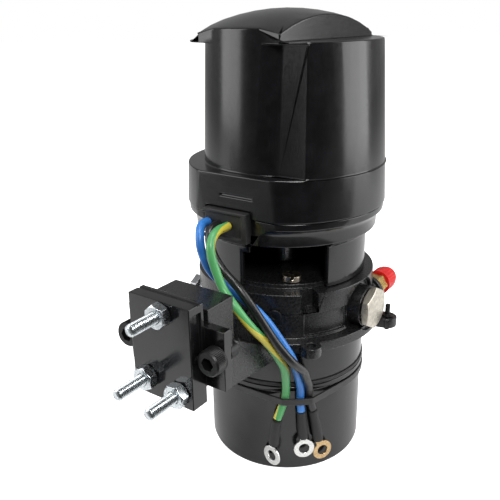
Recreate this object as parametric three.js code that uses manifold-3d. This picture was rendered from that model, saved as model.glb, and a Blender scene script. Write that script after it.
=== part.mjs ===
// Electro-hydraulic pump unit: reservoir, pump manifold, DC motor under a domed cover, side bracket with studs.
// Millimetres, +Z up. The origin is the centre of the reservoir's flat bottom, the bracket points along -X
// and the hexagonal filler plug along -Y.

import * as THREE from 'three';
import { mergeVertices } from 'three/addons/utils/BufferGeometryUtils.js';
import Module from 'manifold-3d';

const wasm = await Module();
wasm.setup();

// ---------------------------------------------------------------- driving dimensions

const GAP = 0.3;              // clearance between neighbouring pieces
const BIG = 200;              // longer than any cut

const CAN = { r: 46, wall: 2.6, top: 57, beadR: 47.2, bead: 2.8, floor: 3, edge: 3 };
const SEAL = { rOut: 47.3, rIn: 42.6, top: 59.6 };
const NECK = { r: 46.6, rIn: 40, top: 82.4 };
const FLANGE = { r: 55.6, bottom: 82.7, top: 88.4 };
const EARS = { places: [[226, 57.4], [283.5, 61.5], [27, 57.4], [103.5, 61.5]], padR: 5.4, hole: 2.6 };
const CASTING = { rLow: 49.4, rHigh: 51, step: 103.6, top: 114.4, landR: 42, landTop: 116.8 };
const HOUSING = { r: 45.8, rIn: 42.8, bottom: 114.7, floor: 140.6, floorTop: 145, top: 154.2, flatX: -49 };
const WINDOW = { from: 182, fromHigh: 188, to: 241, step: 134.4, top: 140.6, keep: 38 };
const GROMMET = { y0: -10, y1: 17.6, z0: 141.7, z1: 157.9, back: -45.6, front: -53.4, face: -51.9 };
const COVER = { r: 55.4, rLedge: 54.3, rTop: 50.6, flatX: -50, stepX: -40, bottom: 154.5, ledge: 176.2,
  shelf: 239.4, bodyR: 45.4, bodyRTop: 42, eave: 245.6, crown: 254.4, gableY: 26, lidTurn: -4.4, shellLean: 3.4, rearX: 2, wall: 2.6 };
const PLUG = { z: 98.5, face: 59.4, seat: 54.2, flats: 21.5, bossR: 11.4 };
const PORT = { y: 42, z: 95.5, rim: 26, hexEnd: 39.2, noseEnd: 50, capStart: 39.8, capEnd: 54 };
const BLOCK = { front: 109, back: 98.8, half: 18.7, bottom: 78, top: 130.3 };
const JOINT_X = 95.9;         // where the bracket's pad meets the casting's arm
const CAP_SCREW = { y: 25.6, z: 104, headR: 6.5, head: 7, seat: 99.2, end: 87 };
const STUDS = [[-2.4, 124.4, 21], [8.6, 88.6, 22], [-10.8, 85.6, 22]];
const STUD = { r: 3, nutFlats: 11, nut: 5.2 };
const SPOOL = { x: -28, z: 98, bore: 4.6, r: 4.2, half: 16 };
const RELEASE = { x: -28.5, y: -22, r: 3.1, bottom: 105, head: 5.2, top: 120.5 };
const GEAR = { teeth: 9, module: 1.55, bottom: 83, top: 92.4, chamberR: 9.4 };
const IDLER_X = GEAR.teeth * GEAR.module;
const END_BOLTS = [[-12, -10], [26, -10], [26, 10]];
const PICKUP = { x: -10, y: 9 };
const GALLERY = { angle: 206, z: 103 };
const TIE = { z0: 49.3, z1: 53.2, thick: 1.2 };
const WIRE_R = 2.3;
const SLEEVE_R = 2.9;
const EYE = { r: 6, hole: 3.1, thick: 1.2 };

// ---------------------------------------------------------------- materials

const BLACK_GLOSS = { color: 0x17181a, roughness: 0.22, metalness: 0 };
const BLACK_SATIN = { color: 0x1c1d1f, roughness: 0.45, metalness: 0 };
const BLACK_CAST = { color: 0x1d1e20, roughness: 0.4, metalness: 0.3 };
const RUBBER = { color: 0x0c0c0d, roughness: 0.85, metalness: 0 };
const ZINC = { color: 0xc9d3d8, roughness: 0.3, metalness: 1 };
const STEEL = { color: 0x9a9c9f, roughness: 0.35, metalness: 1 };
const BLACK_OXIDE = { color: 0x2a2b2c, roughness: 0.45, metalness: 0.8 };
const NICKEL = { color: 0xd0c7ae, roughness: 0.3, metalness: 1 };
const BRASS = { color: 0xc99a3c, roughness: 0.3, metalness: 1 };
const RED_PLASTIC = { color: 0xc9211c, roughness: 0.5, metalness: 0 };
const BLUE = { color: 0x2a6fc9, roughness: 0.4, metalness: 0 };
const GREEN = { color: 0x3f9a3f, roughness: 0.4, metalness: 0 };
const BLACK_WIRE = { color: 0x161617, roughness: 0.4, metalness: 0 };
const SLEEVE = { color: 0x111112, roughness: 0.6, metalness: 0 };
const COPPER = { color: 0xb4642d, roughness: 0.35, metalness: 1 };
const FERRITE = { color: 0x3a3a3c, roughness: 0.7, metalness: 0 };
const CARBON = { color: 0x2b2b2b, roughness: 0.7, metalness: 0 };
const MESH_STEEL = { color: 0x8d9296, roughness: 0.5, metalness: 1 };

// ---------------------------------------------------------------- solids and booleans

function signedVolume(vertices, triangles) {
  const corner = (i) => new THREE.Vector3().fromArray(vertices, triangles[i] * 3);
  let volume = 0;
  for (let i = 0; i < triangles.length; i += 3) {
    volume += corner(i).dot(corner(i + 1).cross(corner(i + 2))) / 6;
  }
  return volume;
}

// The triangles with three different corners; turned poles leave some with only two.
function wholeTriangles(index) {
  const kept = [];
  for (let i = 0; i < index.length; i += 3) {
    const [a, b, c] = [index[i], index[i + 1], index[i + 2]];
    if (a !== b && b !== c && c !== a) kept.push(a, b, c);
  }
  return new Uint32Array(kept);
}

// Makes a boolean-ready solid of a closed geometry, and turns it right side out when it is inside out.
function solid(geometry) {
  geometry.deleteAttribute('normal');
  geometry.deleteAttribute('uv');
  const merged = mergeVertices(geometry, 1e-4);
  const vertices = new Float32Array(merged.attributes.position.array);
  const triangles = wholeTriangles(merged.index.array);
  if (signedVolume(vertices, triangles) < 0) triangles.reverse();
  return new wasm.Manifold(new wasm.Mesh({ numProp: 3, vertProperties: vertices, triVerts: triangles }));
}

function geometryOf(body) {
  const mesh = body.getMesh();
  const geometry = new THREE.BufferGeometry();
  geometry.setAttribute('position', new THREE.BufferAttribute(mesh.vertProperties, 3));
  geometry.setIndex(new THREE.BufferAttribute(mesh.triVerts, 1));
  return geometry;
}

const join = (first, ...rest) => rest.reduce((a, b) => a.add(b), first);
const cut = (first, ...rest) => rest.reduce((a, b) => a.subtract(b), first);

function box(x0, x1, y0, y1, z0, z1) {
  const geometry = new THREE.BoxGeometry(x1 - x0, y1 - y0, z1 - z0);
  geometry.translate((x0 + x1) / 2, (y0 + y1) / 2, (z0 + z1) / 2);
  return solid(geometry);
}

// A disc or cone along +Z from z0 to z1.
function round(r0, r1, z0, z1, segments = 48) {
  const geometry = new THREE.CylinderGeometry(r1, r0, z1 - z0, segments);
  geometry.rotateX(Math.PI / 2);
  geometry.translate(0, 0, (z0 + z1) / 2);
  return solid(geometry);
}

const disc = (r, z0, z1, segments) => round(r, r, z0, z1, segments);
const tube = (rOut, rIn, z0, z1, segments) => cut(disc(rOut, z0, z1, segments), disc(rIn, z0 - 1, z1 + 1, segments));

// A turned solid from [radius, height] points, which start and end on the axis or close on themselves.
function turned(points, segments = 48) {
  const geometry = new THREE.LatheGeometry(points.map(([r, z]) => new THREE.Vector2(r, z)), segments);
  geometry.rotateX(Math.PI / 2);
  return solid(geometry);
}

// A flat outline of [x, y] points pulled up from z0 to z1.
function prism(points, z0, z1) {
  const shape = new THREE.Shape(points.map(([x, y]) => new THREE.Vector2(x, y)));
  const geometry = new THREE.ExtrudeGeometry(shape, { depth: z1 - z0, bevelEnabled: false });
  geometry.translate(0, 0, z0);
  return solid(geometry);
}

// An [x, z] outline pulled along Y from y0 to y1.
function slab(points, y0, y1) {
  const shape = new THREE.Shape(points.map(([x, z]) => new THREE.Vector2(x, z)));
  const geometry = new THREE.ExtrudeGeometry(shape, { depth: y1 - y0, bevelEnabled: false });
  geometry.rotateX(Math.PI / 2);
  geometry.translate(0, y1, 0);
  return solid(geometry);
}

function hexagon(flats, z0, z1) {
  const corner = flats / Math.sqrt(3);
  return disc(corner, z0, z1, 6);
}

const polar = (r, degrees) => [r * Math.cos(THREE.MathUtils.degToRad(degrees)),
  r * Math.sin(THREE.MathUtils.degToRad(degrees))];

// A wedge of the full circle between two angles, used to cut arcs.
function wedge(from, to, r, z0, z1) {
  const steps = Math.max(2, Math.ceil((to - from) / 10));
  const rim = Array.from({ length: steps + 1 }, (_, i) => polar(r, from + (to - from) * i / steps));
  return prism([[0, 0], ...rim], z0, z1);
}

// Turns a solid built along +Z so that it points along the given direction from a place.
function aim(body, direction, place) {
  const turn = new THREE.Quaternion().setFromUnitVectors(
    new THREE.Vector3(0, 0, 1), new THREE.Vector3(...direction).normalize());
  const matrix = new THREE.Matrix4().compose(
    new THREE.Vector3(...place), turn, new THREE.Vector3(1, 1, 1));
  return body.transform(matrix.elements);
}

const spinZ = (body, degrees) => body.rotate([0, 0, degrees]);
const moved = (body, x, y, z) => body.translate([x, y, z]);

const unit = new THREE.Group();

function add(name, body, finish) {
  const geometry = body.isBufferGeometry ? body : geometryOf(body);
  const mesh = new THREE.Mesh(geometry, new THREE.MeshStandardMaterial(finish));
  mesh.name = name;
  unit.add(mesh);
}

// ---------------------------------------------------------------- reservoir, seal and neck

function reservoir() {
  const inner = CAN.r - CAN.wall;
  return turned([
    [0, 0], [CAN.r - CAN.edge, 0], [CAN.r - CAN.edge * 0.3, CAN.edge * 0.3], [CAN.r, CAN.edge],
    [CAN.r, CAN.top - CAN.bead - 0.8], [CAN.beadR, CAN.top - CAN.bead], [CAN.beadR, CAN.top],
    [inner, CAN.top], [inner, CAN.floor + 2], [inner - 2, CAN.floor], [0, CAN.floor],
  ], 64);
}

function neck() {
  const wall = tube(NECK.r, NECK.rIn, SEAL.top + GAP, NECK.top, 64);
  const spigot = tube(CAN.r - CAN.wall - GAP, NECK.rIn, CAN.top - 8, SEAL.top + 1, 64);
  return join(wall, cut(spigot, tube(CAN.r, SEAL.rIn - GAP, CAN.top - 1, SEAL.top + GAP, 64)));
}

const seal = () => tube(SEAL.rOut, SEAL.rIn, CAN.top + GAP, SEAL.top, 64);

// ---------------------------------------------------------------- pump manifold casting

// The plug's round boss, the flat faced round it, its threaded hole and the room for its head.
function plugBoss() {
  const out = [0, -1, 0];
  return {
    spot: aim(disc(15.5, 0, 30, 40), out, [0, -46.5, PLUG.z]),
    boss: aim(disc(PLUG.bossR, 0, PLUG.seat - 36, 36), out, [0, -36, PLUG.z]),
    bore: aim(disc(6.2, 0, BIG, 24), out, [0, -38, PLUG.z]),
    room: aim(disc(13.2, 0, 30, 36), out, [0, -PLUG.seat, PLUG.z]),
  };
}

function portBoss(side) {
  const at = [0, side * PORT.y, PORT.z];
  const boss = aim(disc(7.5, 0, PORT.rim - 2.6, 32), [1, 0, 0], at);
  const rim = aim(disc(10, PORT.rim - 2.8, PORT.rim, 36), [1, 0, 0], at);
  const bore = aim(disc(4.3, 8, BIG, 24), [1, 0, 0], at);
  const spot = aim(disc(10.2, PORT.rim, 60, 36), [1, 0, 0], at);
  return { boss: join(boss, rim), bore, spot };
}

function earLug([angle, r]) {
  const [x, y] = polar(r, angle);
  const pad = moved(disc(EARS.padR, FLANGE.bottom, FLANGE.top, 20), x, y, 0);
  const root = spinZ(box(48, r, -EARS.padR, EARS.padR, FLANGE.bottom, FLANGE.top), angle);
  return join(pad, root);
}

function earHole([angle, r]) {
  const [x, y] = polar(r, angle);
  return moved(disc(EARS.hole, FLANGE.bottom - 1, FLANGE.top + 1, 14), x, y, 0);
}

// The arm from the casting to the bracket: a square head, a link, a web under it and two screw lugs.
function arm() {
  const headBlock = box(-JOINT_X + GAP, -76, -18.3, 18.3, 100, 125);
  const link = box(-77, -40, -14, 14, 88, 108);
  const web = slab([[-84, 79], [-84, 106], [-56, 90], [-30, 90], [-30, 74]], -22, 22);
  const lugs = box(-93.3, -90.5, -28.5, 28.5, 91, 116);
  const screwHoles = [-1, 1].map((side) => aim(disc(4.3, 0, 20, 20), [1, 0, 0],
    [-97, side * CAP_SCREW.y, CAP_SCREW.z]));
  return cut(join(headBlock, link, web, lugs), disc(NECK.r + GAP, 50, FLANGE.bottom, 64), ...screwHoles);
}

// Everything drilled from below and from above on the pump's two shafts.
function pumpHollows() {
  const [low, high] = [FLANGE.bottom - 1, GEAR.top + 0.6];
  return join(
    disc(GEAR.chamberR, low, high, 32),
    moved(disc(GEAR.chamberR, low, high, 32), IDLER_X, 0, 0),
    disc(6.5, high - 1, 130, 24),
    disc(9, 111.5, 130, 32),
    moved(disc(4.3, high - 1, 104, 20), IDLER_X, 0, 0),
    ...END_BOLTS.map(([x, y]) => moved(disc(2.3, low, 96, 12), x, y, 0)));
}

// The wide dark slot and the shallow pocket beside it, which both follow the casting's round side.
function sideRecesses() {
  const slot = cut(wedge(222, 232, 60, CASTING.step + 0.4, CASTING.top + 9), disc(43, 80, 130, 48));
  const pocket = cut(wedge(224, 254, 60, 89.8, 102), disc(CASTING.rLow - 1.6, 80, 110, 64));
  return [slot, pocket];
}

function galleryHole() {
  const [x, y] = polar(44, GALLERY.angle);
  return aim(disc(3.1, 0, 20, 16), [...polar(1, GALLERY.angle), 0], [x, y, GALLERY.z]);
}

function manifold() {
  const low = disc(CASTING.rLow, FLANGE.top - 1, CASTING.step + 1, 64);
  const high = disc(CASTING.rHigh, CASTING.step, CASTING.top, 64);
  const plug = plugBoss();
  const ports = [-1, 1].map(portBoss);
  const spoolSpot = aim(disc(8, 40.9, 80, 28), [0, 1, 0], [SPOOL.x, 0, SPOOL.z]);
  const round = cut(join(low, high), plug.spot, spoolSpot, ...ports.map((port) => port.spot));
  const body = join(round, disc(FLANGE.r, FLANGE.bottom, FLANGE.top, 64),
    disc(CASTING.landR, CASTING.top - 1, CASTING.landTop, 48), plug.boss,
    ...EARS.places.map(earLug), ...ports.map((port) => port.boss), arm());
  const spoolBore = aim(disc(SPOOL.bore, -24, 60, 24), [0, 1, 0], [SPOOL.x, 0, SPOOL.z]);
  const release = moved(disc(RELEASE.r + GAP, RELEASE.bottom - GAP, 130, 20), RELEASE.x, RELEASE.y, 0);
  return cut(body, ...EARS.places.map(earHole), plug.bore, plug.room, ...ports.map((port) => port.bore),
    pumpHollows(), ...sideRecesses(), galleryHole(), spoolBore, release);
}

// ---------------------------------------------------------------- bracket and fasteners

function bracket() {
  const [front, back] = [-BLOCK.front, -BLOCK.back];
  const plate = box(front, back, -BLOCK.half, BLOCK.half, BLOCK.bottom, BLOCK.top);
  const topGroove = box(front + 6.4, back - 2.6, -20, 20, BLOCK.top - 0.6, BLOCK.top + 1);
  const sideHollows = [-1, 1].map((side) => box(front + 2.8, back - 2.2,
    side * (BLOCK.half - 1.6), side * 20, 104, 126));
  const pad = box(back - 0.1, -JOINT_X, -16, 16, 84, 126);
  const strip = box(back - 0.1, -JOINT_X, -30, 30, 87, 118);
  const ears = [-1, 1].map((side) => box(back - 0.1, -93.6, side * BLOCK.half, side * 30, 87, 118));
  const studHoles = STUDS.map(([y, z]) => aim(disc(STUD.r + GAP, -1, 10.1, 16), [1, 0, 0], [front, y, z]));
  const screwHoles = [-1, 1].map((side) => aim(disc(4.3, 0, 20, 20), [1, 0, 0],
    [-CAP_SCREW.seat - 2, side * CAP_SCREW.y, CAP_SCREW.z]));
  return cut(join(plate, pad, strip, ...ears), topGroove, ...sideHollows, ...studHoles, ...screwHoles);
}

function stud([y, z, reach]) {
  const length = reach + 9.9;
  const body = turned([[0, 0], [STUD.r - 0.8, 0], [STUD.r, 0.8], [STUD.r, length], [0, length]], 20);
  return aim(body, [1, 0, 0], [-BLOCK.front - reach, y, z]);
}

function nut([y, z]) {
  const body = cut(hexagon(STUD.nutFlats, 0, STUD.nut), disc(STUD.r + GAP, -1, 10, 20));
  return aim(body, [1, 0, 0], [-BLOCK.front - STUD.nut - GAP, y, z]);
}

function capScrew(side) {
  const shank = disc(4, -0.5, CAP_SCREW.seat - CAP_SCREW.end, 20);
  const head = disc(CAP_SCREW.headR, -CAP_SCREW.head, 0, 32);
  const socket = hexagon(6, -CAP_SCREW.head - 1, -CAP_SCREW.head + 4.2);
  return aim(cut(join(head, shank), socket), [1, 0, 0], [-CAP_SCREW.seat, side * CAP_SCREW.y, CAP_SCREW.z]);
}

// ---------------------------------------------------------------- plugs, ports and small fittings

function fillerPlug() {
  const head = hexagon(PLUG.flats, GAP, PLUG.face - PLUG.seat);
  const stem = disc(5.9, -10, 1, 24);
  return aim(join(head, stem), [0, -1, 0], [0, -PLUG.seat, PLUG.z]);
}

function portFitting(side) {
  const hex = hexagon(12, PORT.rim + GAP, PORT.hexEnd);
  const nose = disc(4.5, PORT.hexEnd - 1, PORT.noseEnd, 24);
  const thread = disc(4, 14, PORT.rim + 1, 24);
  return aim(cut(join(hex, nose, thread), disc(2.3, 0, 60, 16)), [1, 0, 0], [0, side * PORT.y, PORT.z]);
}

function portCap(side) {
  const body = cut(disc(7.5, PORT.capStart, PORT.capEnd, 24), disc(4.8, 30, PORT.noseEnd + 1, 24));
  return aim(body, [1, 0, 0], [0, side * PORT.y, PORT.z]);
}

function galleryPlug() {
  const direction = [...polar(1, GALLERY.angle), 0];
  const body = join(disc(2.8, 0.8, 7, 16), disc(3.6, 7.4, 8.8, 20), disc(2.8, 6.5, 8, 16));
  const [x, y] = polar(44, GALLERY.angle);
  return aim(cut(body, hexagon(3, 7.8, 12)), direction, [x, y, GALLERY.z]);
}

function spoolEndPlug() {
  const body = join(disc(4.1, 24, 42, 20), hexagon(12, 41.3, 46));
  return aim(body, [0, 1, 0], [SPOOL.x, 0, SPOOL.z]);
}

function earScrew() {
  const [angle, r] = EARS.places[1];
  const [x, y] = polar(r, angle);
  return moved(join(disc(1.4, 80, 95.5, 14), disc(3.3, FLANGE.top + GAP, FLANGE.top + 1.1, 20)), x, y, 0);
}

function releaseValve() {
  const stem = disc(RELEASE.r, RELEASE.bottom, CASTING.landTop + 1, 20);
  const head = disc(RELEASE.head, CASTING.landTop + GAP, RELEASE.top, 28);
  const slot = box(-6, 6, -0.7, 0.7, RELEASE.top - 1.5, RELEASE.top + 1);
  return moved(cut(join(stem, head), spinZ(slot, 35)), RELEASE.x, RELEASE.y, 0);
}

// ---------------------------------------------------------------- motor base, grommet and cover

function motorBase() {
  const h = HOUSING;
  const shell = turned([
    [0, h.bottom], [h.r, h.bottom], [h.r, 137.4], [51, 141], [51.2, 146.6], [53, 149.6], [54.6, 150.6],
    [54.6, h.top], [0, h.top],
  ], 64);
  const flat = box(-BIG, h.flatX, -BIG, BIG, 141, BIG);
  const below = disc(h.rIn, h.bottom - 1, h.floor, 48);
  const above = disc(h.rIn - 0.6, h.floorTop, h.top + 1, 48);
  const bearingSeat = disc(11.3, h.floor + 1, 150, 32);
  const shaftHole = disc(8.6, h.floor - 2, 150, 24);
  const keep = disc(WINDOW.keep, 100, 145, 48);
  const windowLow = cut(wedge(WINDOW.from, WINDOW.to, 60, h.bottom - 1, WINDOW.step + 0.1), keep);
  const windowHigh = cut(wedge(WINDOW.fromHigh, WINDOW.to, 60, WINDOW.step, WINDOW.top), keep);
  const notch = box(-BIG, GROMMET.back + GAP, GROMMET.y0 - 0.4, GROMMET.y1 + 0.4, GROMMET.z0 - GAP, BIG);
  return cut(shell, flat, below, above, bearingSeat, shaftHole, windowLow, windowHigh, notch);
}

function grommet() {
  const g = GROMMET;
  return cut(box(g.front, g.back, g.y0, g.y1, g.z0, g.z1), box(-60, g.face, -6.6, g.y1 + 1, 144, 156));
}

// A round body cut off square on the bracket's side, at x.
const flatSided = (body, x) => cut(body, box(-BIG, x, -BIG, BIG, 100, 300));

// What the proud shell leaves free: all beyond a leaning edge in front, and most of the rear's near side.
function shellLimits(inset) {
  const c = COVER;
  const lean = c.shellLean / (c.shelf - c.ledge);
  const edge = (z) => c.stepX + inset + (z - c.ledge) * lean;
  const front = slab([[-BIG, 100], [-BIG, 300], [edge(300), 300], [edge(100), 100]], -BIG, BIG);
  return join(front, box(-BIG, c.rearX + inset, 5, BIG, 100, 300));
}

// The solid outside of the cover: a low collar, a proud shell, the body and the lid under one shallow dome.
function coverOutside() {
  const c = COVER;
  const collar = flatSided(round(c.r, c.rLedge, c.bottom, c.ledge, 64), c.flatX);
  const shell = cut(round(c.rLedge, c.rTop, c.ledge - 0.5, c.shelf, 64), shellLimits(0));
  const body = round(c.bodyR, c.bodyRTop, c.ledge - 1, c.crown, 64);
  const gables = [-1, 1].map((side) => spinZ(box(-BIG, BIG, side * c.gableY, side * BIG, c.shelf, 300), c.lidTurn));
  const lid = spinZ(flatSided(disc(c.rTop, c.shelf - 1, c.crown, 64), c.stepX), c.lidTurn);
  const drop = c.crown - c.eave;
  const domeR = (c.bodyRTop ** 2 + drop ** 2) / (2 * drop);
  const dome = new THREE.SphereGeometry(domeR, 48, 40);
  dome.rotateX(Math.PI / 2);
  dome.translate(0, 0, c.crown - domeR);
  const top = cut(join(body, lid), ...gables).intersect(solid(dome));
  return join(collar, shell, top);
}

function cover() {
  const c = COVER;
  const w = c.wall;
  const collar = flatSided(round(c.r - w, c.rLedge - w, c.bottom - 1, c.ledge - w, 48), c.flatX + w);
  const shell = cut(round(c.rLedge - w, c.rTop - w, c.ledge - w - 0.5, c.shelf - w, 48), shellLimits(w));
  const body = round(c.bodyR - w, c.bodyRTop - w, c.ledge - w - 0.5, c.shelf - w, 48);
  const bearingRoom = disc(21, c.shelf - w - 1, c.eave - 3.4, 36);
  const mouth = box(-BIG, -46, GROMMET.y0 - 0.4, GROMMET.y1 + 0.4, c.bottom - 1, GROMMET.z1 + 0.5);
  const groove = box(-BIG, c.flatX + 1.1, -11.3, 8.3, 164.7, 165.9);
  return cut(coverOutside(), collar, shell, body, bearingRoom, mouth, groove);
}

// ---------------------------------------------------------------- motor internals

function armatureShaft() {
  const shaft = join(disc(4, 126, 236.5, 24), disc(6, 150.4, 164, 24));
  const coupler = cut(disc(7.5, 112.9, 127, 24), box(-3.8, 3.8, -1.8, 1.8, 110, 116.2));
  return join(shaft, coupler);
}

function armatureCore() {
  const slots = Array.from({ length: 12 }, (_, i) => {
    const [x, y] = polar(24.5, i * 30);
    return moved(disc(3, 170, 222, 10), x, y, 0);
  });
  return cut(disc(29, 180, 214, 48), disc(4.3, 170, 222, 24), ...slots);
}

const winding = (z0, z1) => tube(26, 4.3, z0, z1, 32);

function magnet(angle) {
  const arc = wedge(angle - 62, angle + 62, 60, 178, 220);
  return cut(arc.intersect(disc(34.6, 170, 230, 48)), disc(31, 170, 230, 48));
}

function motorCan() {
  const shell = cut(disc(37.6, 150, 232, 48), disc(35, 140, 229.4, 48));
  const seat = disc(13.5, 229, 238.4, 32);
  return cut(join(shell, seat), disc(11.3, 225, 236.3, 32), disc(5.2, 220, 250, 24));
}

const bearing = (z0) => tube(11, 4.3, z0, z0 + 7, 32);

function brush(side) {
  return cut(box(side * 14, side * 29, -4, 4, 152.5, 161), disc(15.7, 140, 170, 32));
}

function brushPlate() {
  const holders = [-1, 1].map((side) => cut(box(side * 19.5, side * 32, -6, 6, 149, 163),
    box(-40, 40, -4.3, 4.3, 152.2, 161.3)));
  return join(tube(34.4, 17, 146.6, 149.6, 40), ...holders);
}

// ---------------------------------------------------------------- pump internals

function gearTeeth() {
  const { teeth, module, bottom, top } = GEAR;
  const pitch = teeth * module / 2;
  const root = pitch - module * 1.2;
  const tip = pitch + module * 0.85;
  const flank = [[0, root], [0.22, root], [0.36, pitch], [0.43, tip], [0.57, tip], [0.64, pitch], [0.78, root]];
  const outline = Array.from({ length: teeth }, (_, i) =>
    flank.map(([share, r]) => polar(r, (i + share) * 360 / teeth))).flat();
  return prism(outline, bottom, top);
}

function driveGear() {
  return join(gearTeeth(), disc(4, 72.5, 112, 24), box(-3.4, 3.4, -1.4, 1.4, 111, 115.8));
}

const idlerGear = () => moved(join(gearTeeth(), disc(3.9, 76, 100, 24)), IDLER_X, 0, 0);

function endPlate() {
  const block = box(-17, IDLER_X + 17, -15, 15, 70, NECK.top);
  const holes = [0, IDLER_X].map((x) => moved(disc(4.4, 60, 90, 24), x, 0, 0));
  return cut(block, ...holes, ...END_BOLTS.map(([x, y]) => moved(disc(2.3, 60, 90, 12), x, y, 0)),
    moved(disc(3.3, 60, 76, 16), PICKUP.x, PICKUP.y, 0));
}

function endBolt([x, y]) {
  return moved(cut(join(disc(2, 69, 95, 12), disc(3.6, 66, 69.7, 16)), hexagon(3, 60, 67.5)), x, y, 0);
}

const pickupTube = () => moved(tube(3, 2, 20.3, 75.5, 16), PICKUP.x, PICKUP.y, 0);

function inletFilter() {
  const body = turned([[0, 8], [11, 8], [12, 9], [12, 17], [8, 20], [0, 20]], 24);
  return moved(cut(body, disc(2, 12, 30, 16)), PICKUP.x, PICKUP.y, 0);
}

const shuttleSpool = () => {
  const rod = disc(SPOOL.r, -SPOOL.half, SPOOL.half, 24);
  const waist = tube(6, 2.6, 4, 9, 24);
  return aim(cut(rod, waist, waist.translate([0, 0, -13])), [0, 1, 0], [SPOOL.x, 0, SPOOL.z]);
};

// ---------------------------------------------------------------- wires, sleeves, terminals and tie

// A limp wire: an eight-sided section carried along a smooth curve through the points.
function wire(points, steps) {
  const curve = new THREE.CatmullRomCurve3(points.map((p) => new THREE.Vector3(...p)), false, 'centripetal');
  const section = new THREE.Shape(Array.from({ length: 8 }, (_, i) =>
    new THREE.Vector2(...polar(WIRE_R, i * 45))));
  return solid(new THREE.ExtrudeGeometry(section, { steps, extrudePath: curve, curveSegments: 1 }));
}

function between(r, from, to) {
  const [a, b] = [new THREE.Vector3(...from), new THREE.Vector3(...to)];
  const direction = b.clone().sub(a);
  return aim(disc(r, 0, direction.length(), 16), direction.toArray(), from);
}

// A ring terminal whose flat eye faces the given angle, with its tang towards the sleeve.
function ringTerminal(eye, angle, sleeveEnd) {
  const normal = new THREE.Vector3(...polar(1, angle), 0);
  const towards = new THREE.Vector3(...sleeveEnd).sub(new THREE.Vector3(...eye));
  const up = towards.clone().addScaledVector(normal, -towards.dot(normal)).normalize();
  const across = new THREE.Vector3().crossVectors(up, normal);
  const half = EYE.thick / 2;
  const flat = join(disc(EYE.r, -half, half, 28), box(-2.1, 2.1, 4.5, up.dot(towards) - 0.75, -half, half));
  const matrix = new THREE.Matrix4().makeBasis(across, up, normal).setPosition(...eye);
  return cut(flat, disc(EYE.hole, -5, 5, 24)).transform(matrix.elements);
}

// The outline of a band pulled tight round some circles, given as [x, y, r].
function tightBand(circles) {
  const points = circles.flatMap(([x, y, r]) => Array.from({ length: r > 10 ? 60 : 16 }, (_, i) => {
    const [dx, dy] = polar(r, i * 360 / (r > 10 ? 60 : 16));
    return [x + dx, y + dy];
  })).sort((a, b) => a[0] - b[0] || a[1] - b[1]);
  const turn = (a, b, c) => (b[0] - a[0]) * (c[1] - a[1]) - (b[1] - a[1]) * (c[0] - a[0]);
  const chain = (ordered) => {
    const kept = [];
    for (const point of ordered) {
      while (kept.length > 1 && turn(kept.at(-2), kept.at(-1), point) <= 0) kept.pop();
      kept.push(point);
    }
    return kept.slice(0, -1);
  };
  return [...chain(points), ...chain([...points].reverse())];
}

function cableTie() {
  const held = [[-42.1, -26.4], [-37, -33.4], [-33.4, -37.1]];
  const round = (extra) => [[0, 0, CAN.r + 0.4 + extra], ...held.map(([x, y]) => [x, y, WIRE_R + 0.5 + extra])];
  const inside = prism(tightBand(round(0)), TIE.z0 - 1, TIE.z1 + 1);
  const band = prism(tightBand(round(TIE.thick)), TIE.z0, TIE.z1);
  const headBlock = spinZ(box(CAN.r + 0.5, CAN.r + 5, -4, 4, TIE.z0 - 0.6, TIE.z1 + 0.2), 30);
  return cut(join(band, headBlock), inside);
}

const GREEN_ROUTE = [[-52.2, 1.9, 149.8], [-56, 1.9, 149.9], [-60, 1.8, 149.9], [-65, 1.2, 148.5],
  [-68.7, 0.4, 144.9], [-70, -0.8, 139.9], [-70, -2.9, 133.5], [-69.8, -7.5, 123.4], [-70.2, -15, 115.6],
  [-67, -21.5, 105.6], [-58.3, -25.2, 93.8], [-51.7, -28.8, 81.9], [-48.5, -29.9, 75.2], [-44.5, -28.6, 65],
  [-42, -27.1, 57], [-42, -26.8, 53], [-42.2, -26, 49.4], [-43.4, -24.9, 44.8], [-45.2, -23.5, 39]];
const BLUE_ROUTE = [[-52.2, 15.1, 150.1], [-56, 15, 150.2], [-60.2, 13.6, 149.2], [-63.7, 11.4, 146],
  [-65, 10.2, 141.3], [-64.4, 9.2, 135.8], [-62.8, 7, 128.8], [-61, 1, 122], [-59.3, -8, 116.8],
  [-57.6, -15.5, 111.6], [-55, -22.8, 104.2], [-51.3, -29.4, 93], [-48.2, -34.3, 83], [-42.8, -33.6, 73.5],
  [-38.6, -33.4, 64], [-37.1, -33.5, 57.4], [-37.1, -33.4, 53], [-36.8, -33.4, 48], [-36.4, -33.6, 43.2]];
const BLACK_ROUTE = [[-52.2, 8.3, 149.5], [-55, 8.3, 149.5], [-58.8, 7.8, 148.7], [-61.8, 6.6, 146.2],
  [-63.3, 5, 142], [-63.9, 2, 136.5], [-64, -3.6, 130], [-64.6, -12.6, 123.8], [-63.2, -20.6, 113.9],
  [-60.2, -26.5, 103], [-56.3, -31.2, 92.6], [-52.3, -37, 83.2], [-48.2, -38.6, 78.2], [-43.6, -38.9, 73.8],
  [-39.2, -38.5, 66.8], [-35.4, -37.6, 60.5], [-33.8, -36.9, 56], [-33.5, -36.9, 52], [-32.8, -37.6, 47.5],
  [-31.8, -38.3, 43.6]];
const GREEN_END = { top: [-45.4, -23.3, 38], foot: [-45, -20.9, 20.6], eye: [-46.4, -20.6, 13.8], angle: 170 };
const BLUE_END = { top: [-36.4, -33.7, 42.8], foot: [-35.3, -34.6, 25], eye: [-35.4, -35.3, 18], angle: 225 };
const BLACK_END = { top: [-31.7, -38.4, 42.9], foot: [-28.3, -40.6, 22], eye: [-25.4, -41.6, 13.5], angle: 240 };

// ---------------------------------------------------------------- the unit

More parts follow.
